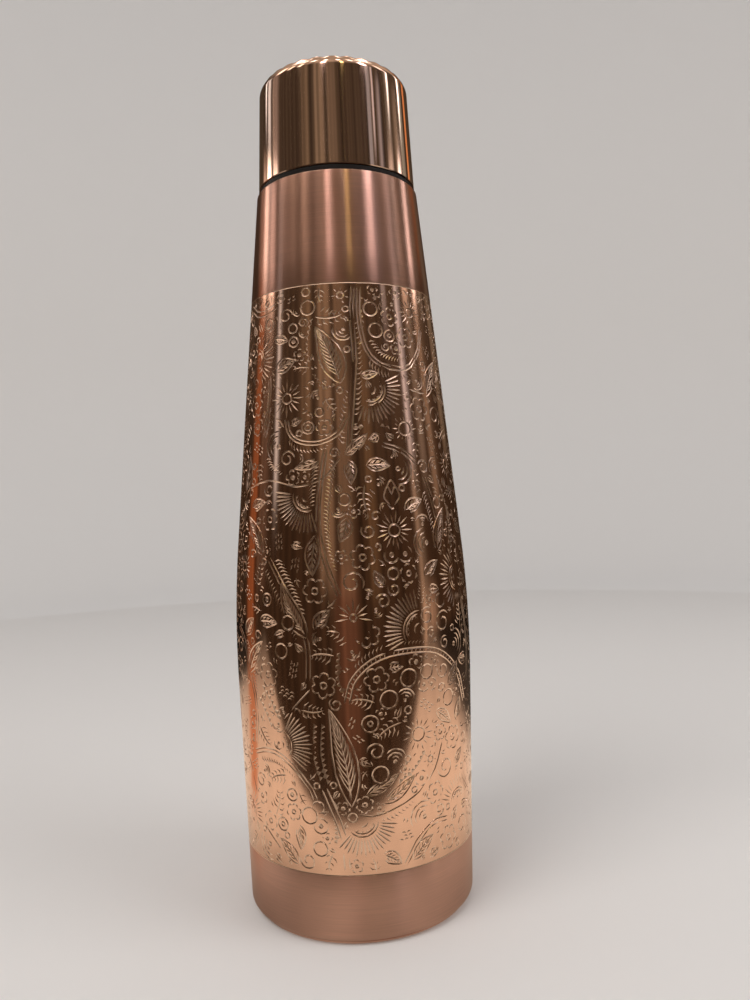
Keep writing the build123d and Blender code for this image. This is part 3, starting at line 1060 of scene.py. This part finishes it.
def copper(name, colour, roughness, anisotropy, brush, bump):
    """Copper brushed or polished round the bottle. brush is how strongly fine turned lines vary its colour."""
    made, shader = new_material(name)
    shader.inputs["Metallic"].default_value = 1.0
    shader.inputs["Anisotropic"].default_value = anisotropy
    shader.inputs["Anisotropic Rotation"].default_value = 0.25
    tangent = node(made, "ShaderNodeTangent", direction_type="RADIAL", axis="Z")
    link(made, tangent.outputs[0], shader.inputs["Tangent"])
    fine = node(made, "ShaderNodeTexNoise", Scale=1.0, Detail=4.0, Roughness=0.65)
    link(made, round_coordinates(made, 2.2, 4200.0), fine.inputs["Vector"])
    darker = tuple(c * (0.98 - 0.22 * brush) for c in colour)
    lighter = tuple(min(c * (1.02 + 0.16 * brush), 1.0) for c in colour)
    share = ranged(made, fine.outputs[0], 0, 1, 0.3, 0.7)
    link(made, blended(made, share, darker, lighter), shader.inputs["Base Color"])
    gloss = ranged(made, noise(made, 42.0), roughness * 0.93, roughness * 1.08, 0.35, 0.65)
    link(made, gloss, shader.inputs["Roughness"])
    if bump:
        bumped(made, shader, fine.outputs[0], bump, 0.00002)
    return made


def moulded(name, colour, roughness, grain_size, grain):
    """Plastic, rubber or silicone with a fine moulded grain."""
    made, shader = new_material(name)
    shader.inputs["Specular IOR Level"].default_value = 0.3
    speckle = noise(made, grain_size)
    darker, lighter = (tuple(c * share for c in colour) for share in (0.9, 1.1))
    share = ranged(made, speckle, 0, 1, 0.35, 0.65)
    link(made, blended(made, share, darker, lighter), shader.inputs["Base Color"])
    gloss = ranged(made, speckle, roughness * 0.9, roughness * 1.1, 0.3, 0.7)
    link(made, gloss, shader.inputs["Roughness"])
    bumped(made, shader, speckle, grain, 0.00005)
    return made


COPPER = (0.90, 0.60, 0.45)
SATIN_COPPER = (0.80, 0.51, 0.42)
LINE_COPPER = (1.0, 0.79, 0.65)
MIRROR_COPPER = (0.88, 0.66, 0.54)
RUBBER_BLACK = (0.012, 0.011, 0.011)
PLASTIC_BLACK = (0.02, 0.02, 0.021)
SILICONE_PALE = (0.72, 0.70, 0.66)


# ---------------------------------------------------------------- the bottle's pieces
SATIN, POLISHED, LINE, INSIDE = range(4)


def body_material(radius, height, normal):
    """Which of the body's finishes a span of its outline has."""
    outside = radius > wall_radius(height) - SKIN
    if BAND_TOP <= height <= BAND_TOP + EDGE_LINE or BAND_BOTTOM - EDGE_LINE <= height <= BAND_BOTTOM:
        return LINE if outside else INSIDE
    return SATIN if outside or height > SHOULDER_HEIGHT - 0.1 or normal[1] < -0.5 else INSIDE


def build_body():
    """The drawn copper wall with its engraved band."""
    shape = Shape()
    lathe(shape, body_outline(), ROUND, body_material)
    engraved_band(shape, engraving(), POLISHED, LINE)
    finishes = [
        copper("satin_copper", SATIN_COPPER, 0.30, 1.0, 0.3, 0.08),
        copper("polished_copper", COPPER, 0.11, 0.6, 0.08, 0.0),
        copper("engraved_lines", LINE_COPPER, 0.30, 0.0, 0.0, 0.0),
        copper("inside_copper", SATIN_COPPER, 0.40, 0.5, 0.3, 0.05),
    ]
    body = shape.to_object("body_wall", finishes)
    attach(body, "bottle")
    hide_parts("body_shell")


def cap_material(radius, height, normal):
    """0 for the cap's polished outside and 1 for its inside."""
    return 0 if radius > cap_radius(height) - SKIN or height > CAP_TOP - 0.5 or normal[1] > 0.1 else 1


def build_cap():
    """The mirror-polished cap cup with its scalloped top edge."""
    shape = Shape()
    lathe(shape, cap_outline(), CAP_ROUND, cap_material, -1, True)
    finishes = [
        copper("mirror_copper", MIRROR_COPPER, 0.08, 0.7, 0.04, 0.0),
        copper("cap_inside_copper", SATIN_COPPER, 0.35, 0.4, 0.2, 0.0),
    ]
    cap = shape.to_object("cap_cup", finishes)
    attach(cap, "cap")
    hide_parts("cap_shell")


def dress_cad_nodes():
    """Materials for the pieces that are shown as they come from the CAD."""
    looks = {
        "base_plate": copper("base_satin_copper", SATIN_COPPER, 0.36, 0.6, 0.4, 0.1),
        "neck_collar": copper("neck_polished_copper", COPPER, 0.18, 0.3, 0.1, 0.0),
        "neck_gasket": moulded("black_rubber", RUBBER_BLACK, 0.55, 900.0, 0.25),
        "cap_liner": moulded("black_plastic", PLASTIC_BLACK, 0.38, 700.0, 0.15),
        "cap_seal": moulded("pale_silicone", SILICONE_PALE, 0.5, 500.0, 0.2),
    }
    for name, material in looks.items():
        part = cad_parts[name]
        part.data.materials.clear()
        part.data.materials.append(material)


# ---------------------------------------------------------------- studio
def plain(name, colour, roughness=0.6):
    """A plain even finish for the studio."""
    made, shader = new_material(name)
    shader.inputs["Base Color"].default_value = (*colour, 1)
    shader.inputs["Roughness"].default_value = roughness
    shader.inputs["Specular IOR Level"].default_value = 0.2
    return made


def quads(rows, columns, closed=False):
    """The faces of a grid of points, row after row, joined round to its first column where closed."""
    faces = []
    for j in range(rows - 1):
        for k in range(columns if closed else columns - 1):
            a, b = j * columns + k, j * columns + (k + 1) % columns
            faces.append((a, b, b + columns, a + columns))
    return faces


def build_floor():
    """A pale floor that curves up into a round wall."""
    curve = np.linspace(0.15, math.pi / 2, 10)
    profile = [(0.02, 0.0), (1.0, 0.0)]
    profile += [(1.0 + 0.5 * math.sin(a), 0.5 - 0.5 * math.cos(a)) for a in curve]
    profile += [(1.5, 2.2)]
    around = 72
    turns = [2 * math.pi * k / around for k in range(around)]
    points = [(r * math.cos(t), r * math.sin(t), height) for r, height in profile for t in turns]
    faces = quads(len(profile), around, True) + [tuple(range(around))]
    floor = new_object("studio_floor", points, faces, [plain("studio_pale", (0.80, 0.78, 0.76))])
    floor.visible_glossy = False


def lamp(name, place, target, size, power, colour=(1, 1, 1)):
    """A soft round lamp that isn't mirrored in the copper."""
    light = bpy.data.lights.new(name, "AREA")
    light.shape, light.size, light.energy, light.color = "DISK", size, power, colour
    made = bpy.data.objects.new(name, light)
    made.location = place
    made.rotation_euler = (Vector(target) - Vector(place)).to_track_quat("-Z", "Y").to_euler()
    made.visible_glossy = False
    bpy.context.scene.collection.objects.link(made)


# What the copper mirrors, as glows on a dome: (azimuth, half width, lowest and highest elevation, colour,
# strength), in degrees. Azimuth 0 is towards the front and positive to the right. The narrow glows under an
# elevation of 30 light the sides of the neck, those from 43.5 to 57 its middle, and those from 32 to 43 the cap.
ROOM_DARK = (0.040, 0.024, 0.014)
ROOM_UPPER = (0.020, 0.017, 0.013)
ROOM_CEILING = (0.34, 0.26, 0.20)
SPOT_LIGHT = (11.0, 9.8, 8.8)   # a ring of twelve spot lamps in the ceiling
ROOM_GLOWS = (
    (-114, 3.6, 32, 42, (1.0, 0.94, 0.92), 0.85),
    (-124, 1.8, 34, 43, (1.0, 0.92, 0.90), 1.9),
    (-114, 5.5, 24.5, 29.5, (1.0, 0.84, 0.72), 8.5),
    (-128, 6.0, 24, 29.5, (1.0, 0.66, 0.5), 1.0),
    (-98, 5.0, 25, 29.5, (1.0, 0.8, 0.7), 5.5),
    (-100, 9, 20, 70, (1.0, 0.8, 0.7), 0.14),
    (-114, 7.5, -60, 24, (1.0, 0.29, 0.09), 0.19),
    (-97, 7, -4, 60, (1.0, 0.62, 0.45), 0.07),
    (-80, 3.0, 7, 27, (0.95, 0.97, 1.0), 0.55),
    (-43, 6, 12, 60, (1.0, 0.72, 0.45), 0.09),
    (-95, 7.0, 43.5, 57, (1.0, 0.8, 0.66), 2.8),
    (-73, 3.5, 43.5, 57, (1.0, 0.8, 0.62), 2.8),
    (-54, 3.0, 43.5, 57, (1.0, 0.8, 0.62), 3.4),
    (-14, 4.0, 43.5, 57, (1.0, 0.78, 0.72), 6.5),
    (16, 2.4, 43.5, 57, (1.0, 0.8, 0.32), 5.5),
    (51, 5.0, 43.5, 57, (1.0, 0.84, 0.84), 9.0),
    (86, 6.0, 43.5, 57, (1.0, 0.82, 0.74), 2.0),
    (-22, 8, -2, 70, (1.0, 0.74, 0.5), 0.14),
    (-3, 7, -3, 70, (1.0, 0.72, 0.48), 0.12),
    (-5, 10, -26, 0, (1.0, 0.45, 0.28), 0.09),
    (22, 6, -4, 26, (1.0, 0.65, 0.33), 0.05),
    (54, 3.0, 24, 46, (0.94, 0.92, 1.0), 0.26),
    (61, 1.6, 33, 43, (1.0, 0.85, 0.85), 0.5),
    (73, 4.0, 11, 28, (0.94, 0.92, 1.0), 0.5),
    (73, 5.0, -14, 11, (1.0, 0.8, 0.6), 0.17),
    (71, 4.0, 28, 38, (1.0, 0.9, 0.95), 0.18),
    (79, 9, -18, -5, (0.92, 0.66, 0.48), 0.27),
    (88, 5.0, 24, 31, (1.0, 0.75, 0.62), 0.85),
    (91, 1.5, 35.5, 43, (1.0, 0.98, 0.95), 3.8),
    (89, 5.0, 8, 60, (1.0, 0.85, 0.7), 0.15),
    (107, 4.2, 24, 29.5, (1.0, 0.84, 0.8), 4.6),
    (105, 6, 4, 36, (1.0, 0.76, 0.56), 0.12),
    (117.5, 1.5, 34, 43, (1.0, 0.98, 0.95), 3.8),
    (120, 5, 22, 60, (1.0, 0.95, 0.78), 0.22),
    (136, 3.0, 26, 60, (1.0, 0.32, 0.09), 0.75),
    (140, 7, 6, 28, (1.0, 0.8, 0.55), 0.12),
    (178, 14, 0, 60, (1.0, 0.7, 0.5), 0.15),
)
STREAKS = random.Random(3)
STREAK_LIGHT = [STREAKS.uniform(0.55, 1.5) for _ in range(180)]   # uneven light round the room


def room_colours(azimuth, elevation):
    """The light that comes from each direction of the mirrored room."""
    def lit(amount, tint):
        return amount[:, None] * np.array(tint)

    up = np.clip((elevation - 42) / 16, 0, 1)
    colours = lit(np.ones(len(azimuth)), ROOM_DARK) + lit(np.clip((elevation - 6) / 12, 0, 1), ROOM_UPPER)
    for middle, width, low, high, tint, strength in ROOM_GLOWS:
        away = (azimuth - middle + 180) % 360 - 180
        side = np.exp(-((np.abs(away) / width) ** 4))
        above = np.clip((elevation - low) / 3 + 0.5, 0, 1)
        below = np.clip((high - elevation) / 3 + 0.5, 0, 1)
        colours += lit(strength * side * above * below, tint)
    colours *= np.interp(azimuth / 2, np.arange(181), [*STREAK_LIGHT, STREAK_LIGHT[0]])[:, None]
    across, along = np.abs(azimuth % 30 - 15), np.abs(elevation - 70)
    spot = np.clip(1 - across / 6, 0, 1) * np.clip(1 - along / 6, 0, 1)
    return colours + lit(up * up * (3 - 2 * up), ROOM_CEILING) + lit(spot, SPOT_LIGHT)


def glow_material(name):
    """A surface that only gives off the colours painted on it."""
    made = bpy.data.materials.new(name)
    made.use_nodes = True
    made.node_tree.nodes.clear()
    paint = node(made, "ShaderNodeVertexColor", layer_name="glow")
    shine = node(made, "ShaderNodeEmission", Strength=1.0)
    out = node(made, "ShaderNodeOutputMaterial")
    link(made, paint.outputs[0], shine.inputs[0])
    link(made, shine.outputs[0], out.inputs[0])
    return made


def only_mirrored(thing):
    """Keeps a studio piece out of sight except where the copper mirrors it."""
    thing.visible_camera = False
    thing.visible_diffuse = False
    thing.visible_shadow = False
    thing.visible_transmission = False
    thing.visible_volume_scatter = False


def paint(thing, colours):
    """Stores a colour for each vertex."""
    layer = thing.data.color_attributes.new("glow", "FLOAT_COLOR", "POINT")
    layer.data.foreach_set("color", np.hstack([colours, np.ones((len(colours), 1))]).ravel())


def build_room():
    """The dome of glows that the copper mirrors."""
    radius, around, up = 0.9, 720, 120
    elevation = np.repeat(np.linspace(-90, 90, up + 1), around)
    azimuth = np.tile(np.arange(around) * 360 / around, up + 1)
    e, a = np.radians(elevation), np.radians(azimuth)
    points = radius * np.stack([np.cos(e) * np.sin(a), -np.cos(e) * np.cos(a), np.sin(e)], 1) + (0, 0, 0.15)
    dome = new_object("mirrored_room", points, quads(up + 1, around, True), [glow_material("room_glow")])
    paint(dome, room_colours(azimuth, elevation))
    only_mirrored(dome)


# painted light of the table that the bottle mirrors, and of an orange thing at its left
TABLE_GLOW = (0.80, 0.64, 0.50)
ORANGE_GLOW = (0.62, 0.235, 0.105)


# Where the painted light of the table close to the foot is lighter or darker, as painted highlight streaks and
# painted shade: azimuth, width, change.
TABLE_LIGHT_CHANGES = ((-66, 26, -0.34), (-17, 6, 0.28), (34, 6, 0.20), (8, 50, 0.13))


def table_colour(x, y):
    """The table's painted light: dimmer far away and towards the back corners, with a painted shadow of the
    bottle close to it, and orange in one direction at the left."""
    away = math.hypot(x, y)
    corner = min(max((y + 0.5 * abs(x) - (0.22 if x > 0 else 0.38)) / 0.09 + 0.5, 0), 1)
    fade = (0.10 + 0.90 / (1 + (away / 0.36) ** 4)) * (1 - 0.9 * corner)
    # painted shadow of the bottle, darkening the table's painted light close to the foot
    painted_bottle_shadow = 1 - 0.60 * math.exp(-((max(away - 0.04, 0) / 0.052) ** 2))
    colour = np.array(TABLE_GLOW) * fade * painted_bottle_shadow
    azimuth = math.degrees(math.atan2(x, -y))
    colour *= 0.86 + 0.14 * STREAK_LIGHT[int(azimuth / 3) % 180]
    near = min(max((0.10 - away) / 0.025, 0), 1)
    # painted highlight streaks and a painted darker patch in the table's light
    for middle, width, change in TABLE_LIGHT_CHANGES:
        colour *= 1 + near * change * math.exp(-(((azimuth - middle) / width) ** 2))
    orange = 0.9 * math.exp(-(((azimuth + 113) / 8) ** 4)) * min(max((away - 0.10) / 0.05, 0), 1)
    return colour * (1 - orange) + np.array(ORANGE_GLOW) * orange * (0.4 + 0.6 * fade)


def build_table():
    """A glowing sheet painted with the light and shade of a pale table top, which only the lower part of the
    bottle mirrors, with its front edge close by.
    """
    columns, rows = 121, 90
    points = []
    for j in range(rows):
        for x in np.linspace(-0.75, 0.75, columns):
            front = -0.125 - 0.18 * min(x, 0) - 0.13 * max(x, 0)
            points.append((x, front + (0.7 - front) * (j / (rows - 1)) ** 1.6, -0.0006))
    top = new_object("mirrored_table", points, quads(rows, columns), [glow_material("table_glow")])
    paint(top, np.array([table_colour(x, y) for x, y, _ in points]))
    only_mirrored(top)


def build_world():
    """Plain pale light from all round."""
    world = bpy.data.worlds.new("studio")
    world.use_nodes = True
    background = world.node_tree.nodes["Background"]
    background.inputs[0].default_value = (0.92, 0.92, 0.95, 1)
    background.inputs[1].default_value = 0.55
    bpy.context.scene.world = world


def build_camera():
    """The camera, close in front of the bottle and a little below its middle, leaning slightly."""
    yaw, pitch, roll = 0.033, -0.0021, -0.0378
    forward = Vector((math.sin(yaw) * math.cos(pitch), math.cos(yaw) * math.cos(pitch), math.sin(pitch)))
    right = Vector((math.cos(yaw), -math.sin(yaw), 0))
    up = right.cross(forward)
    leaning = right * math.cos(roll) + up * math.sin(roll)
    upright = up * math.cos(roll) - right * math.sin(roll)
    data = bpy.data.cameras.new("camera")
    data.sensor_width, data.lens, data.clip_start = 36.0, 28.9, 0.01
    camera = bpy.data.objects.new("camera", data)
    axes = Matrix((leaning, upright, -forward)).transposed().to_4x4()
    camera.matrix_world = Matrix.Translation((0, -0.288, 0.139)) @ axes
    bpy.context.scene.collection.objects.link(camera)
    bpy.context.scene.camera = camera


def build_studio():
    """Floor, soft light, the mirrored surroundings and the camera."""
    build_world()
    build_floor()
    build_room()
    build_table()
    lamp("key", (-0.7, -0.7, 1.3), (0, 0, 0.1), 0.9, 9.0, (1.0, 0.97, 0.94))
    lamp("fill", (0.9, -0.4, 0.9), (0, 0, 0.1), 0.8, 4.0)
    bpy.context.scene.view_settings.view_transform = "Standard"
    build_camera()


build_body()
build_cap()
dress_cad_nodes()
build_studio()
